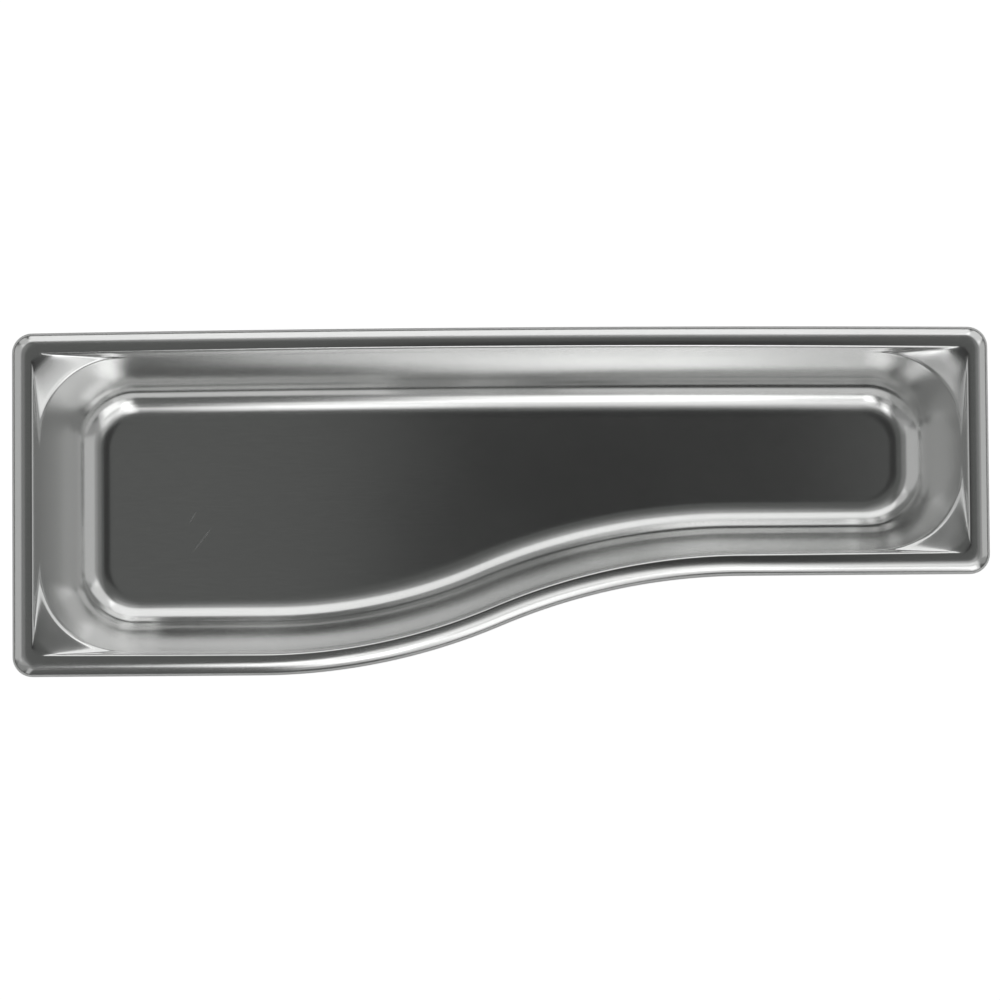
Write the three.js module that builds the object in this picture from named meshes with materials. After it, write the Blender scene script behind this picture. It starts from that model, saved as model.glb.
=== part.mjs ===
// Stainless steel food pan, half size long, with one S-curved long side so that two of them turned
// end for end fill one full-size opening. It is a single deep drawing in thin sheet: a flat floor,
// drafted walls, a conical facet across each corner, a level flange and a rounded turned-down edge.
//
// Millimetres, +Z up, +X towards the narrow end, +Y towards the straight long side. The origin is
// under the middle of the pan, on the surface that it stands on.
import * as THREE from 'three';
import { mergeVertices } from 'three/addons/utils/BufferGeometryUtils.js';

// Driving dimensions.
const LENGTH = 530;
const WIDE_END = 188;
const NARROW_END = 136;
const DEPTH = 65;
const SHEET = 0.8;
const S_RADIUS = 340; // each of the two tangent arcs of the S-curved edge
const OUTER_CORNER = 11; // corner radius of the flange's outer edge
const CROWN = 1.6; // how far the straight long side bows outwards at its middle

// Rounded outer edge and flange.
const EDGE_WIDTH = 9.2; // the edge rounds over gradually until the flange is level
const EDGE_DROP = 7;
const EDGE_ROUNDNESS = 0.8; // 1 would be an ellipse, less is squarer
const LIP = 1; // upright hem below the rounded edge
const FLAT_MARGIN = 0.3; // the flange is truly flat this far inside its two bends
const MOUTH = 12.1; // from the outer edge to where the flange and the wall would meet
const FLANGE_CORNER = 5; // inner corner radius of the flange
const BEND = 1.3; // how far the bend from flange to wall reaches both ways
const S_FLANGE_FALL = 1.2; // the flange slopes outwards by this much along the S-curve
const OPENING_BOW = 0.7; // the mouth bows out a little more than the outer edge

// Bowl.
const DRAFT = THREE.MathUtils.degToRad(11); // of the wall above the crease
const WALL_DRAFT = THREE.MathUtils.degToRad(14.8); // of the wall below it, from crease to foot
const FOOT_DRAFT = THREE.MathUtils.degToRad(18); // at the wall's foot, where the fillet starts
const CREASE_DROP = 9.7; // how far below the flange the corner facets end at the walls
const CREASE_LIFT = 4.2; // how much higher the crease is in the middle of each corner
const CREASE_CORNER = 45; // corner radius of the bowl there
const FACET_CURVE = 0.75; // below 1, the facets start nearly level and steepen towards the crease
const FILLET_REACH = 16; // how far the fillet reaches up the wall and out over the floor
const FLOOR_CORNER = 16; // corner radius of the flat floor
const FLOOR_MARGIN = 2;
const WIDE_END_LEAN = 4.4; // the wide end's wall comes in this much more by the floor
const NARROW_END_LEAN = 2.8; // the narrow end's wall this much more
const NARROW_SIDE_EASE = 1.8; // and the narrow end's S-side wall this much less

// Steps along the outline and round the bends.
const CORNER_STEPS = 8;
const S_STEPS = 8;
const SIDE_STEPS = 10;
const EDGE_STEPS = 7;
const BEND_STEPS = 2;
const FACET_STEPS = 2;
const WALL_STEPS = 4;
const FILLET_STEPS = 6;

const halfLength = LENGTH / 2;
const halfWidth = WIDE_END / 2;
const wideSide = -halfWidth;
const narrowSide = halfWidth - NARROW_END;
const step = narrowSide - wideSide;
const sTurn = Math.acos(1 - step / (2 * S_RADIUS));
const sReach = S_RADIUS * Math.sin(sTurn);

function arc(cx, cy, radius, from, to, steps) {
  return Array.from({ length: steps + 1 }, (_, i) => {
    const a = from + ((to - from) * i) / steps;
    return new THREE.Vector2(cx + radius * Math.cos(a), cy + radius * Math.sin(a));
  });
}

// One level line round the pan, anticlockwise from above, `inset` inside the outer edge. It bows
// outwards by `bow` along the sides, and rises by `lift` in the middle of each corner.
function outline({ inset, z, corner, bow, lift }) {
  const left = -halfLength + inset;
  const right = halfLength - inset;
  const top = halfWidth - inset;
  const turn = Math.PI / 2;
  const reach = right - corner;
  const straightSide = Array.from({ length: SIDE_STEPS - 1 }, (_, i) => {
    return new THREE.Vector2(reach * (1 - (2 * (i + 1)) / SIDE_STEPS), top);
  });
  const points = [
    ...arc(left + corner, wideSide + inset + corner, corner, -2 * turn, -turn, CORNER_STEPS),
    ...arc(-sReach, wideSide + S_RADIUS, S_RADIUS - inset, -turn, -turn + sTurn, S_STEPS),
    ...arc(sReach, narrowSide - S_RADIUS, S_RADIUS + inset, turn + sTurn, turn, S_STEPS).slice(1),
    ...arc(right - corner, narrowSide + inset + corner, corner, -turn, 0, CORNER_STEPS),
    ...arc(right - corner, top - corner, corner, 0, turn, CORNER_STEPS),
    ...straightSide,
    ...arc(left + corner, top - corner, corner, turn, 2 * turn, CORNER_STEPS),
  ];
  const depth = inset > MOUTH ? (DEPTH - z) / DEPTH : 0;
  const slope = S_FLANGE_FALL * Math.max(0, 1 - inset / MOUTH);
  return points.map(({ x, y }) => {
    const sSide = y < (halfWidth + narrowSide) / 2;
    const bottom = (x < 0 ? wideSide : narrowSide) + inset;
    const beyondX = Math.max(0, Math.abs(x) - reach);
    const beyondY = Math.max(0, sSide ? bottom + corner - y : y - top + corner);
    const middle = Math.max(0, 1 - (x / reach) ** 2);
    const lean = x < 0 ? WIDE_END_LEAN : NARROW_END_LEAN;
    const shaped = new THREE.Vector3(x, y, z + (lift * 2 * beyondX * beyondY) / corner ** 2);
    shaped.x -= (lean * depth * x) / halfLength;
    if (sSide) {
      shaped.y -= bow * middle + NARROW_SIDE_EASE * depth * THREE.MathUtils.smoothstep(x, -sReach, sReach);
      shaped.z -= slope * Math.max(0, 1 - (x / (1.4 * sReach)) ** 2) ** 2;
    } else {
      shaped.y += bow * middle - CROWN * (x / halfLength) ** 2;
    }
    return shaped;
  });
}

// One level line between two others.
function between(a, b, t) {
  const mix = (key) => THREE.MathUtils.lerp(a[key], b[key], t);
  const [inset, z, corner, bow, lift] = ['inset', 'z', 'corner', 'bow', 'lift'].map(mix);
  return { inset, z, corner, bow, lift };
}

// The edge at b rounded off, in a smooth curve from a to c.
function rounded(a, b, c, steps) {
  return Array.from({ length: steps + 1 }, (_, i) => {
    const t = i / steps;
    return between(between(a, b, t), between(b, c, t), t);
  });
}

// The upper skin's section, from the bottom of the lip in over the flange and down to the floor, as
// one entry per level line: how far in it is, its height, its corner radius and its extra bow.
function section() {
  const edge = Array.from({ length: EDGE_STEPS + 1 }, (_, i) => {
    const a = (Math.PI / 2) * (i / EDGE_STEPS);
    const across = 1 - Math.abs(Math.cos(a)) ** EDGE_ROUNDNESS;
    const corner = THREE.MathUtils.lerp(OUTER_CORNER, FLANGE_CORNER, across);
    const z = DEPTH - EDGE_DROP * (1 - Math.sin(a) ** EDGE_ROUNDNESS);
    return { inset: EDGE_WIDTH * across, z, corner, bow: OPENING_BOW * across ** 2, lift: 0 };
  });
  const lip = { ...edge[0], z: DEPTH - EDGE_DROP - LIP };
  const facet = (depth) => {
    const corner = THREE.MathUtils.lerp(FLANGE_CORNER, CREASE_CORNER, depth ** FACET_CURVE);
    const fall = CREASE_DROP * depth;
    const inset = MOUTH + fall * Math.tan(DRAFT);
    return { inset, z: DEPTH - fall, corner, bow: OPENING_BOW, lift: CREASE_LIFT * depth };
  };
  const afterBend = BEND / CREASE_DROP;
  const beforeBend = { ...facet(0), inset: MOUTH - BEND };
  const flat = [EDGE_WIDTH + FLAT_MARGIN, MOUTH - BEND - FLAT_MARGIN].map((inset) => {
    return { ...beforeBend, inset };
  });
  const bend = rounded(beforeBend, facet(0), facet(afterBend), BEND_STEPS);
  const facets = Array.from({ length: FACET_STEPS }, (_, i) => {
    return facet(THREE.MathUtils.lerp(afterBend, 1, (i + 1) / FACET_STEPS));
  });
  const creaseInset = facet(1).inset;
  const creaseZ = DEPTH - CREASE_DROP;

  const footZ = SHEET + FILLET_REACH * Math.cos(FOOT_DRAFT);
  const wallHeight = creaseZ - footZ;
  const footInset = creaseInset + wallHeight * Math.tan(WALL_DRAFT);
  const heelInset = footInset + FILLET_REACH * Math.sin(FOOT_DRAFT);
  const floorInset = heelInset + FILLET_REACH;
  const narrowing = (CREASE_CORNER - FLOOR_CORNER) / (floorInset - creaseInset);
  const inBowl = (inset, z) => {
    return { inset, z, corner: CREASE_CORNER - narrowing * (inset - creaseInset), bow: 0, lift: 0 };
  };
  const foot = inBowl(footInset, footZ);
  const halfway = between(facet(1), foot, 0.5);
  halfway.inset = footInset - (wallHeight / 2) * Math.tan(FOOT_DRAFT);
  const wall = rounded(facet(1), halfway, foot, WALL_STEPS).slice(1, -1);
  const heel = inBowl(heelInset, SHEET);
  const fillet = rounded(foot, heel, inBowl(floorInset, SHEET), FILLET_STEPS);
  const floor = inBowl(floorInset + FLOOR_MARGIN, SHEET);
  return [lip, ...edge, ...flat, ...bend, ...facets, ...wall, ...fillet, floor];
}

// The upper skin as an indexed surface: bands between neighbouring level lines, and the flat floor.
function upperSkin() {
  const rings = section().map(outline);
  const count = rings[0].length;
  const positions = rings.flat().flatMap((p) => [...p]);
  const index = [];
  for (let r = 0; r < rings.length - 1; r++) {
    for (let i = 0; i < count; i++) {
      const [a, b] = [r * count + i, r * count + ((i + 1) % count)];
      index.push(a, b, a + count, b, b + count, a + count);
    }
  }
  const last = (rings.length - 1) * count;
  const floor = THREE.ShapeUtils.triangulateShape(rings[rings.length - 1], []);
  floor.forEach(([a, b, c]) => index.push(last + a, last + b, last + c));
  const skin = new THREE.BufferGeometry();
  skin.setAttribute('position', new THREE.Float32BufferAttribute(positions, 3));
  skin.setIndex(index);
  skin.computeVertexNormals();
  return { skin, count };
}

// The sheet: the upper skin, the same skin set back by the sheet's thickness, and the cut edge.
function drawnSheet() {
  const { skin, count } = upperSkin();
  const upper = skin.attributes.position;
  const normal = skin.attributes.normal;
  const positions = [...upper.array];
  for (let i = 0; i < upper.count; i++) {
    const p = new THREE.Vector3().fromBufferAttribute(upper, i);
    const n = new THREE.Vector3().fromBufferAttribute(normal, i);
    positions.push(...p.addScaledVector(n, -SHEET));
  }
  const index = [...skin.index.array];
  for (let i = 0; i < skin.index.count; i += 3) {
    const [a, b, c] = skin.index.array.slice(i, i + 3);
    index.push(a + upper.count, c + upper.count, b + upper.count);
  }
  for (let i = 0; i < count; i++) {
    const [a, b] = [i, (i + 1) % count];
    index.push(a, a + upper.count, b, b, a + upper.count, b + upper.count);
  }
  const solid = new THREE.BufferGeometry();
  solid.setAttribute('position', new THREE.Float32BufferAttribute(positions, 3));
  solid.setIndex(index);
  return mergeVertices(solid);
}

function satinSteel() {
  return new THREE.MeshStandardMaterial({ color: 0xb9bab8, roughness: 0.3, metalness: 1 });
}

const pan = new THREE.Group();
const sheet = new THREE.Mesh(drawnSheet(), satinSteel());
sheet.name = 'drawn_pan';
pan.add(sheet);

export default pan;
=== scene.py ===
from math import acos, cos, pi, radians, sin, tan

import bmesh
import bpy
from mathutils import Matrix, Vector


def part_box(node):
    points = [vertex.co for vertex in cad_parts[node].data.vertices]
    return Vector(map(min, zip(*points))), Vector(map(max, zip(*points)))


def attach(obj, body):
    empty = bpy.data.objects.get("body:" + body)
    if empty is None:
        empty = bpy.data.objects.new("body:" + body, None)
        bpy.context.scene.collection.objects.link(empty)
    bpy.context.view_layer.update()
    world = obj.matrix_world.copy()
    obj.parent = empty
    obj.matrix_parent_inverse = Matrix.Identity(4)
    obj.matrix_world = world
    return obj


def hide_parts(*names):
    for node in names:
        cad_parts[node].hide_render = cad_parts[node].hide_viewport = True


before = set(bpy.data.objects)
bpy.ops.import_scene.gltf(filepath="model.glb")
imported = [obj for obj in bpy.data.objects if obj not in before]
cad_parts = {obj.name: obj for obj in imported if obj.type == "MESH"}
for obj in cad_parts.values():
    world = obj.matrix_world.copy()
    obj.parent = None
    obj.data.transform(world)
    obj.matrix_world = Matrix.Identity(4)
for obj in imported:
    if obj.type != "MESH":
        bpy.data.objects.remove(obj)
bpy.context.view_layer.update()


# The drawn pan: one stainless sheet, 0.8 mm thick, pressed into a shallow bowl with a level flange.
# Its outline is a rectangle with small corners and one long side made of two tangent arcs, the S.
# Level lines of that shape run round the pan, each with its own inset, height and corner radius.
low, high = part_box("drawn_pan")
half_length, straight_side, wide_side, flange_top = high.x, high.y, low.y, high.z
NARROW_END = 0.136
SHEET = 0.0008
S_RADIUS = 0.340
OUTER_CORNER = 0.011
CROWN = 0.0016  # how far the straight long side bows outwards at its middle
MOUTH = 0.0121  # from the outer edge to the mouth of the bowl
WIDE_END_LEAN = 0.0044  # how much more the wide end's wall comes in by the floor
NARROW_END_LEAN = 0.0028
NARROW_SIDE_EASE = 0.0018  # how much less the S-side wall comes in at the narrow end
S_FLANGE_FALL = 0.0012  # how far the flange slopes down outwards in the middle of the S
S_FALL_REACH = 1.4
narrow_side = straight_side - NARROW_END
s_turn = acos(1 - (narrow_side - wide_side) / (2 * S_RADIUS))
s_reach = S_RADIUS * sin(s_turn)

CORNER_STEPS = 24
S_STEPS = 40
LONG_SIDE_STEPS = 60
SHORT_SIDE_STEPS = 12


def arc(x, y, radius, start, angle, steps):
    angles = [radians(start) + angle * i / steps for i in range(steps + 1)]
    return [Vector((x + radius * cos(a), y + radius * sin(a))) for a in angles]


def level_line(line):
    """The points of one level line: its inset, height, corner radius, outward bow and corner lift."""
    inset, z, corner, bow, lift = line
    left, right = inset - half_length, half_length - inset
    top, wide, narrow = straight_side - inset, wide_side + inset, narrow_side + inset
    quarter = pi / 2
    hollow_bend = arc(-s_reach, wide_side + S_RADIUS, S_RADIUS - inset, 270, s_turn, S_STEPS)
    bulging_bend = arc(s_reach, narrow_side - S_RADIUS, S_RADIUS + inset, 90, s_turn, S_STEPS)
    curves = [
        arc(left + corner, wide + corner, corner, 180, quarter, CORNER_STEPS),
        hollow_bend[:-1] + bulging_bend[::-1],
        arc(right - corner, narrow + corner, corner, 270, quarter, CORNER_STEPS),
        arc(right - corner, top - corner, corner, 0, quarter, CORNER_STEPS),
        arc(left + corner, top - corner, corner, 90, quarter, CORNER_STEPS),
    ]
    straights = [SHORT_SIDE_STEPS, SHORT_SIDE_STEPS, SHORT_SIDE_STEPS, LONG_SIDE_STEPS, SHORT_SIDE_STEPS]
    points = []
    for curve, following, steps in zip(curves, curves[1:] + curves[:1], straights):
        points += curve
        points += [curve[-1].lerp(following[0], i / steps) for i in range(1, steps)]
    reach = right - corner
    depth = (flange_top - z) / flange_top if inset > MOUTH else 0
    slope = S_FLANGE_FALL * max(0, 1 - inset / MOUTH)
    shaped = []
    for point in points:
        x, y = point
        s_side = y < (straight_side + narrow_side) / 2
        stepped_side = wide if x < 0 else narrow
        beyond_x = max(0, abs(x) - reach)
        beyond_y = max(0, stepped_side + corner - y if s_side else y - top + corner)
        height = z + lift * 2 * beyond_x * beyond_y / corner ** 2
        middle = max(0, 1 - (x / reach) ** 2)
        if s_side:
            along = min(1, max(0, 0.5 + x / (2 * s_reach)))
            y -= bow * middle + NARROW_SIDE_EASE * depth * along * along * (3 - 2 * along)
            height -= slope * max(0, 1 - (x / (S_FALL_REACH * s_reach)) ** 2) ** 2
        else:
            y += bow * middle - CROWN * (x / half_length) ** 2
        x -= (WIDE_END_LEAN if x < 0 else NARROW_END_LEAN) * depth * x / half_length
        shaped.append(Vector((x, y, height)))
    return shaped


def rounded(a, b, c, steps):
    """Lines that round the edge at b off, from a to c."""
    parts = [i / steps for i in range(steps + 1)]
    return [a * (1 - t) ** 2 + b * (2 * t * (1 - t)) + c * t * t for t in parts]


# The rim of the sheet, from the outside in: a short upright lip, and the edge that rounds over from
# it, a little squarer than an ellipse, until the flange is level.
EDGE_WIDTH, EDGE_DROP, LIP = 0.0092, 0.0070, 0.0010
EDGE_ROUNDNESS = 0.8
FLANGE_CORNER, OPENING_BOW = 0.005, 0.0007
EDGE_STEPS = 24
lines = [Vector((0, flange_top - EDGE_DROP - LIP, OUTER_CORNER, 0, 0))]
for i in range(EDGE_STEPS + 1):
    a = pi / 2 * i / EDGE_STEPS
    inset = EDGE_WIDTH * (1 - abs(cos(a)) ** EDGE_ROUNDNESS)
    corner = OUTER_CORNER + (FLANGE_CORNER - OUTER_CORNER) * inset / EDGE_WIDTH
    bow = OPENING_BOW * (inset / EDGE_WIDTH) ** 2
    drop = EDGE_DROP * (1 - sin(a) ** EDGE_ROUNDNESS)
    lines.append(Vector((inset, flange_top - drop, corner, bow, 0)))

# The bend into the bowl, the facet across each corner and the crease that ends it. The facets start
# level with the flange and steepen towards the crease, which is higher in the corners.
DRAFT, BEND = radians(11), 0.0013
CREASE_DROP, CREASE_CORNER, CREASE_ROUNDING = 0.0097, 0.045, 0.12
CREASE_LIFT, FACET_CURVE = 0.0042, 0.75
BEND_STEPS, FACET_STEPS, CREASE_STEPS = 8, 10, 6


def facet_line(depth):
    corner = FLANGE_CORNER + (CREASE_CORNER - FLANGE_CORNER) * depth ** FACET_CURVE
    fall = CREASE_DROP * depth
    lift = CREASE_LIFT * depth
    return Vector((MOUTH + fall * tan(DRAFT), flange_top - fall, corner, OPENING_BOW, lift))


mouth, crease = facet_line(0), facet_line(1)
crease_inset = crease[0]
before_bend = mouth - Vector((BEND, 0, 0, 0, 0))
bend_end, crease_start = BEND / CREASE_DROP, 1 - CREASE_ROUNDING
lines += rounded(before_bend, mouth, facet_line(bend_end), BEND_STEPS)
for i in range(1, FACET_STEPS + 1):
    lines.append(facet_line(bend_end + (crease_start - bend_end) * i / FACET_STEPS))

# The wall below the crease, which leans more and more towards its foot, and the big fillet, which
# runs out gently into the flat floor.
FILLET_REACH, FLOOR_CORNER = 0.016, 0.016
WALL_DRAFT, FOOT_DRAFT = radians(14.8), radians(18)
FLOOR_MARGINS = 0.001, 0.003
WALL_STEPS, FILLET_STEPS = 14, 28
wall_foot = SHEET + FILLET_REACH * cos(FOOT_DRAFT)
wall_height = crease[1] - wall_foot
foot_inset = crease_inset + wall_height * tan(WALL_DRAFT)
heel_inset = foot_inset + FILLET_REACH * sin(FOOT_DRAFT)
floor_inset = heel_inset + FILLET_REACH
narrowing = (CREASE_CORNER - FLOOR_CORNER) / (floor_inset - crease_inset)


def bowl_line(inset, z):
    corner = CREASE_CORNER - narrowing * (inset - crease_inset)
    return Vector((inset, z, corner, 0, 0))


foot = bowl_line(foot_inset, wall_foot)
halfway = crease.lerp(foot, 0.5)
halfway[0] = foot_inset - wall_height / 2 * tan(FOOT_DRAFT)
below_crease = crease.lerp(halfway, 2 * CREASE_ROUNDING * CREASE_DROP / wall_height)
heel, floor_edge = bowl_line(heel_inset, SHEET), bowl_line(floor_inset, SHEET)
lines += rounded(lines.pop(), crease, below_crease, CREASE_STEPS)
lines += rounded(below_crease, halfway, foot, WALL_STEPS)[1:-1]
lines += rounded(foot, heel, floor_edge, FILLET_STEPS)
lines += [bowl_line(floor_inset + margin, SHEET) for margin in FLOOR_MARGINS]

# The sheet itself: the lip's edge is extruded from each level line to the next, which is set to its
# own size, and the last one is closed as the flat floor. The skin then gets the sheet's thickness
# downwards, and the cut edge of the lip is taken off a little.
CUT_EDGE_ROUND = 0.00015
shell = bmesh.new()
rim = [shell.verts.new(point) for point in level_line(lines[0])]
edges = [shell.edges.new(pair) for pair in zip(rim, rim[1:] + rim[:1])]
for line in lines[1:]:
    made = bmesh.ops.extrude_edge_only(shell, edges=edges)["geom"]
    fresh = {item for item in made if isinstance(item, bmesh.types.BMVert)}
    edges = [item for item in made if isinstance(item, bmesh.types.BMEdge) and set(item.verts) <= fresh]
    rim = [next(e.other_vert(v) for e in v.link_edges if e.other_vert(v) in fresh) for v in rim]
    for vert, point in zip(rim, level_line(line)):
        vert.co = point
bmesh.ops.contextual_create(shell, geom=edges)
bmesh.ops.recalc_face_normals(shell, faces=shell.faces)
if max(shell.faces, key=lambda face: face.calc_area()).normal.z < 0:
    bmesh.ops.reverse_faces(shell, faces=shell.faces)
for face in shell.faces:
    face.smooth = True
pan_mesh = bpy.data.meshes.new("steel_pan")
shell.to_mesh(pan_mesh)
shell.free()
pan = bpy.data.objects.new("steel_pan", pan_mesh)
bpy.context.scene.collection.objects.link(pan)
sheet = pan.modifiers.new("sheet", "SOLIDIFY")
sheet.thickness = SHEET
sheet.offset = -1
sheet.use_even_offset = True
cut_edge = pan.modifiers.new("cut_edge", "BEVEL")
cut_edge.width = CUT_EDGE_ROUND
cut_edge.segments = 2
cut_edge.limit_method = "ANGLE"
cut_edge.angle_limit = radians(60)
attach(pan, "root")
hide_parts("drawn_pan")

# Its finish, satin stainless steel: a fine grain stretched along the sheet, in colour, gloss and
# relief, faint smudges in the gloss, and two scratches.
DARKER_STEEL = (0.60, 0.605, 0.60, 1)
PALER_STEEL = (0.68, 0.68, 0.675, 1)
GRAIN_STRETCH = (4, 220, 220)
GRAIN_RELIEF = 0.025
SCRATCH_DULLNESS = 0.12
steel = bpy.data.materials.new("satin_stainless")
steel.use_nodes = True
nodes, links = steel.node_tree.nodes, steel.node_tree.links
shader = nodes["Principled BSDF"]
shader.inputs["Metallic"].default_value = 1.0
place = nodes.new("ShaderNodeTexCoord")


def noise(scale, stretch=(1, 1, 1), detail=3.0, roughness=0.55):
    mapping = nodes.new("ShaderNodeMapping")
    mapping.inputs["Scale"].default_value = stretch
    links.new(place.outputs["Object"], mapping.inputs["Vector"])
    texture = nodes.new("ShaderNodeTexNoise")
    texture.inputs["Scale"].default_value = scale
    texture.inputs["Detail"].default_value = detail
    texture.inputs["Roughness"].default_value = roughness
    links.new(mapping.outputs["Vector"], texture.inputs["Vector"])
    return texture.outputs["Fac"]


def spread(value, low_value, high_value, low_at=0.3, high_at=0.7):
    band = nodes.new("ShaderNodeMapRange")
    band.inputs["From Min"].default_value = low_at
    band.inputs["From Max"].default_value = high_at
    band.inputs["To Min"].default_value = low_value
    band.inputs["To Max"].default_value = high_value
    links.new(value, band.inputs["Value"])
    return band.outputs["Result"]


def combine(operation, a, b):
    node = nodes.new("ShaderNodeMath")
    node.operation = operation
    links.new(a, node.inputs[0])
    links.new(b, node.inputs[1])
    return node.outputs["Value"]


grain = noise(30, GRAIN_STRETCH, detail=4)
smudge = noise(14, detail=4)
tone = nodes.new("ShaderNodeMix")
tone.data_type = "RGBA"
tone.inputs["A"].default_value = DARKER_STEEL
tone.inputs["B"].default_value = PALER_STEEL
links.new(spread(grain, 0, 1), tone.inputs["Factor"])
links.new(tone.outputs["Result"], shader.inputs["Base Color"])
gloss = combine("ADD", spread(smudge, 0.15, 0.17), spread(grain, -0.01, 0.02))


def scratch(x, y, angle, length, width):
    """One over a thin straight line on the floor, from its middle, nothing elsewhere."""
    along_line = nodes.new("ShaderNodeMapping")
    along_line.vector_type = "TEXTURE"
    along_line.inputs["Location"].default_value = (x, y, SHEET)
    along_line.inputs["Rotation"].default_value = (0, 0, radians(angle))
    along_line.inputs["Scale"].default_value = (length / 2, width / 2, 0.001)
    links.new(place.outputs["Object"], along_line.inputs["Vector"])
    ball = nodes.new("ShaderNodeVectorMath")
    ball.operation = "LENGTH"
    links.new(along_line.outputs["Vector"], ball.inputs[0])
    return spread(ball.outputs["Value"], 1, 0, 0.4, 1)


long_scratch = scratch(-0.1667, -0.0185, 52, 0.026, 0.0010)
short_scratch = scratch(-0.172, -0.006, 60, 0.012, 0.0007)
dulled = spread(combine("MAXIMUM", long_scratch, short_scratch), 0, SCRATCH_DULLNESS, 0, 1)
links.new(combine("ADD", gloss, dulled), shader.inputs["Roughness"])
bump = nodes.new("ShaderNodeBump")
bump.inputs["Strength"].default_value = GRAIN_RELIEF
bump.inputs["Distance"].default_value = 0.0001
links.new(grain, bump.inputs["Height"])
links.new(bump.outputs["Normal"], shader.inputs["Normal"])
pan.data.materials.append(steel)


# The floor it stands on: a lit pale table top, which only the camera sees, and a plain white sheet
# under the pan, which bounces light and shows in the steel. Neither is part of the pan.
def flat_board(name, half_x, half_y, z, tint, glow):
    board = bmesh.new()
    bmesh.ops.create_grid(board, x_segments=1, y_segments=1, size=1)
    bmesh.ops.scale(board, verts=board.verts, vec=(half_x, half_y, 1))
    bmesh.ops.translate(board, verts=board.verts, vec=(0, 0, z))
    mesh = bpy.data.meshes.new(name)
    board.to_mesh(mesh)
    board.free()
    made = bpy.data.objects.new(name, mesh)
    bpy.context.scene.collection.objects.link(made)
    paint = bpy.data.materials.new(name)
    paint.use_nodes = True
    finish = paint.node_tree.nodes["Principled BSDF"]
    finish.inputs["Base Color"].default_value = (tint, tint, tint, 1)
    finish.inputs["Roughness"].default_value = 0.9
    finish.inputs["Emission Color"].default_value = (1, 1, 1, 1)
    finish.inputs["Emission Strength"].default_value = glow
    made.data.materials.append(paint)
    return made


table_top = flat_board("pale_floor", 20, 20, -0.0010, 0.35, 0.96)
table_top.visible_glossy = False
table_top.visible_diffuse = False
white_sheet = flat_board("white_sheet", 0.52, 0.36, -0.0003, 0.85, 0)
white_sheet.visible_camera = False
white_sheet.visible_shadow = False


# Soft studio light: large diffusers on four sides, open and dark straight above. Faint scrims reach
# the highest, brighter panels stand below them, and a few small lamps make the highlights.
def softbox(name, azimuth, from_angle, to_angle, width, glow, distance=2.2):
    """A diffuser facing the pan, between two angles from the vertical, towards an azimuth from +Y."""
    middle = radians((from_angle + to_angle) / 2)
    half_angle = radians((to_angle - from_angle) / 2)
    lamp = bpy.data.lights.new(name, "AREA")
    lamp.shape = "RECTANGLE"
    lamp.size = width
    lamp.size_y = 2 * distance * tan(half_angle)
    lamp.energy = glow * pi * lamp.size * lamp.size_y
    box = bpy.data.objects.new(name, lamp)
    swing = Matrix.Rotation(-radians(azimuth), 4, "Z")
    aim = Vector((0, sin(middle), cos(middle)))
    box.location = swing @ (aim * distance)
    box.rotation_mode = "QUATERNION"
    box.rotation_quaternion = (swing @ aim).to_track_quat("Z", "Y")
    box.visible_camera = False
    bpy.context.scene.collection.objects.link(box)


softbox("back_scrim", 0, 18, 88, 0.8, 0.08)
softbox("back_high_lamp", 0, 25, 37, 0.9, 0.2)
softbox("back_diffuser", 0, 31, 88, 1.6, 0.08)
softbox("back_panel", 0, 36, 88, 1.9, 0.98)
softbox("back_right_panel", 46, 36, 88, 1.3, 0.78)
softbox("right_scrim", 97, 20, 88, 2.2, 0.11)
softbox("right_diffuser", 95, 31, 88, 2.0, 0.14)
softbox("right_panel", 83, 41, 88, 1.4, 0.26)
softbox("front_scrim", 150, 15, 90, 1.5, 0.3)
softbox("front_diffuser", 153, 26, 90, 1.5, 0.45)
softbox("front_high_lamp", 174, 20, 34, 0.42, 0.4)
softbox("front_window", 176, 34, 56, 0.43, 1.45)
softbox("front_low_lamp", 176, 56, 78, 0.5, 0.45)
softbox("front_right_lamp", 148, 20, 36, 0.7, 0.3)
softbox("front_right_panel", 152, 43, 76, 0.9, 0.7)
softbox("front_left_scrim", 206, 36, 88, 1.2, 0.5, distance=6)
softbox("front_left_panel", 193, 22, 39, 0.17, 1.0, distance=1.2)
softbox("front_left_lamp", 198, 17, 31, 0.25, 1.2, distance=2.0)
softbox("left_front_diffuser", 234, 27, 88, 1.0, 0.20)
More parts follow.
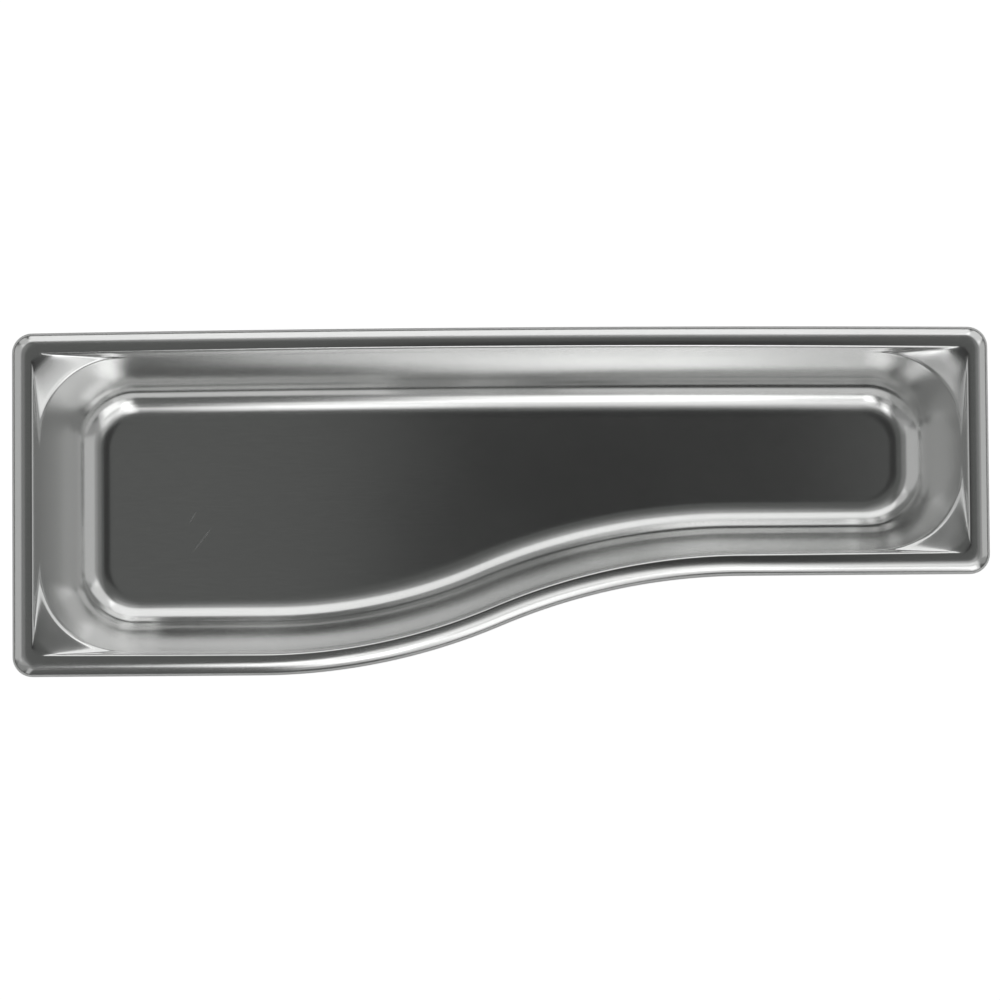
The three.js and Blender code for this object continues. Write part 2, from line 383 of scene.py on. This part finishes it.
softbox("left_scrim", 272, 19, 88, 2.0, 0.13)
softbox("left_diffuser", 279, 34, 88, 1.8, 0.34)
softbox("back_left_panel", 318, 37, 88, 0.8, 0.55)

# A dark card round the camera. It shows in the level steel straight below it, in the flange and in
# the floor of the narrow end.
CARD_ASIDE = 0.15
card = flat_board("camera_card", 0.27, 0.30, 2.05, 0.08, 0)
card.location.x = CARD_ASIDE
card.visible_camera = False
card.visible_diffuse = False
card.visible_shadow = False

# The dark room beyond the lights, which the steel reflects between them. Only the camera sees a white
# backdrop in its place.
ROOM_GREY = (0.125, 0.128, 0.125, 1)
studio = bpy.data.worlds.new("studio")
bpy.context.scene.world = studio
studio.use_nodes = True
sky, sky_links = studio.node_tree.nodes, studio.node_tree.links
seen = sky.new("ShaderNodeLightPath")
shade = sky.new("ShaderNodeMix")
shade.data_type = "RGBA"
shade.inputs["A"].default_value = ROOM_GREY
shade.inputs["B"].default_value = (1, 1, 1, 1)
sky_links.new(seen.outputs["Is Camera Ray"], shade.inputs["Factor"])
sky_links.new(shade.outputs["Result"], sky["Background"].inputs["Color"])
bpy.context.scene.view_settings.view_transform = "Standard"

# The camera: nearly straight above the pan and a little towards its S-curved side, with a long lens
# and turned a touch out of square.
CAMERA_HEIGHT = 1.965
CAMERA_FORWARD = -0.0755
CAMERA_ASIDE = -0.005
LENS = 126.6
ROLL = radians(0.43)
camera_data = bpy.data.cameras.new("camera")
camera_data.sensor_width = 36
camera_data.lens = LENS
camera = bpy.data.objects.new("camera", camera_data)
bpy.context.scene.collection.objects.link(camera)
target = Vector((-0.0005, -0.00015, flange_top))
camera.location = (CAMERA_ASIDE, CAMERA_FORWARD, CAMERA_HEIGHT)
back = (camera.location - target).normalized()
right_hand = Vector((0, 1, 0)).cross(back).normalized()
upright = Matrix((right_hand, back.cross(right_hand), back)).transposed()
camera.rotation_mode = "QUATERNION"
camera.rotation_quaternion = (upright @ Matrix.Rotation(-ROLL, 3, "Z")).to_quaternion()
bpy.context.scene.camera = camera
